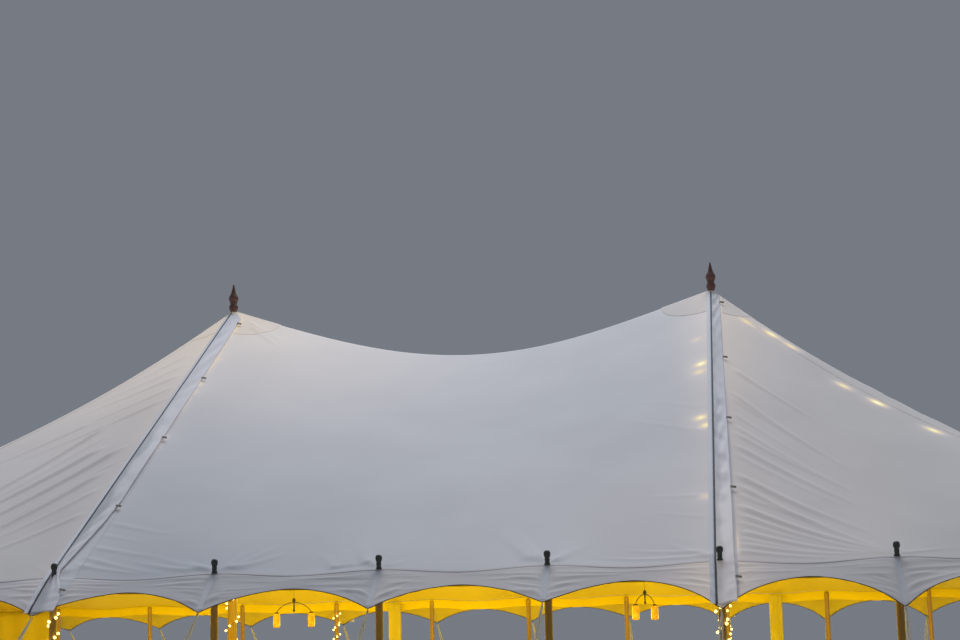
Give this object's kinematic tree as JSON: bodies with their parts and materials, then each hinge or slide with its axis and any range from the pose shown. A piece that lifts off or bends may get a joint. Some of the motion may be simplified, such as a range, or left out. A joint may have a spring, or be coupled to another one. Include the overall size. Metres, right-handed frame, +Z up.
{
  "type": "two king pole marquee with scalloped eaves",
  "caption": "Canvas pole marquee with a sagging ridge between two king poles, straight eaves on side poles with ball caps, and a scalloped valance held out by guy ropes.",
  "frame": {"origin": "on the ground under the middle of the tent, half way between the king poles", "axes": "+X along the ridge, -Y towards the front with the open bays, +Z up"},
  "size_m": [23.9868, 17.8866, 6.226],
  "materials": {
    "canvas": "plain woven off-white canvas, matt",
    "flap_canvas": "heavier white canvas, matt",
    "wall_canvas": "plain woven canvas, matt, in soft folds",
    "rope": "laid natural rope and brown binding",
    "wood": "varnished softwood",
    "cap_paint": "dark green satin paint",
    "finial_paint": "turned wood, dull red-brown stain",
    "lamp": "small warm lit bulbs"
  },
  "bodies": {
    "root": {"crown_patch_left": "canvas", "crown_patch_right": "canvas", "finial_left": "finial_paint", "finial_right": "finial_paint", "guy_ropes_back_left": "rope", "guy_ropes_back_middle": "rope", "guy_ropes_back_right": "rope", "guy_ropes_front_left": "rope", "guy_ropes_front_middle": "rope", "guy_ropes_front_right": "rope", "guy_ropes_left_side": "rope", "guy_ropes_right_side": "rope", "king_pole_left": "wood", "king_pole_right": "wood", "roof_left_back": "canvas", "roof_left_front": "canvas", "roof_left_side": "canvas", "roof_middle_back": "canvas", "roof_middle_front": "canvas", "roof_right_back": "canvas", "roof_right_front": "canvas", "roof_right_side": "canvas", "scalloped_valance_back_left": "canvas", "scalloped_valance_back_middle": "canvas", "scalloped_valance_back_right": "canvas", "scalloped_valance_front_left": "canvas", "scalloped_valance_front_middle": "canvas", "scalloped_valance_front_right": "canvas", "scalloped_valance_left_side": "canvas", "scalloped_valance_right_side": "canvas", "seam_flap_left_back": "flap_canvas", "seam_flap_left_front": "flap_canvas", "seam_flap_right_back": "flap_canvas", "seam_flap_right_front": "flap_canvas", "side_poles_back_left": "wood", "side_poles_back_middle": "wood", "side_poles_back_right": "wood", "side_poles_front_left": "wood", "side_poles_front_middle": "wood", "side_poles_front_right": "wood", "side_poles_left_side": "wood", "side_poles_right_side": "wood", "wall_back_left": "wall_canvas", "wall_bunch_back_left": "wall_canvas", "wall_bunch_back_right": "wall_canvas", "wall_left_side": "wall_canvas"}
  },
  "joints": []
}
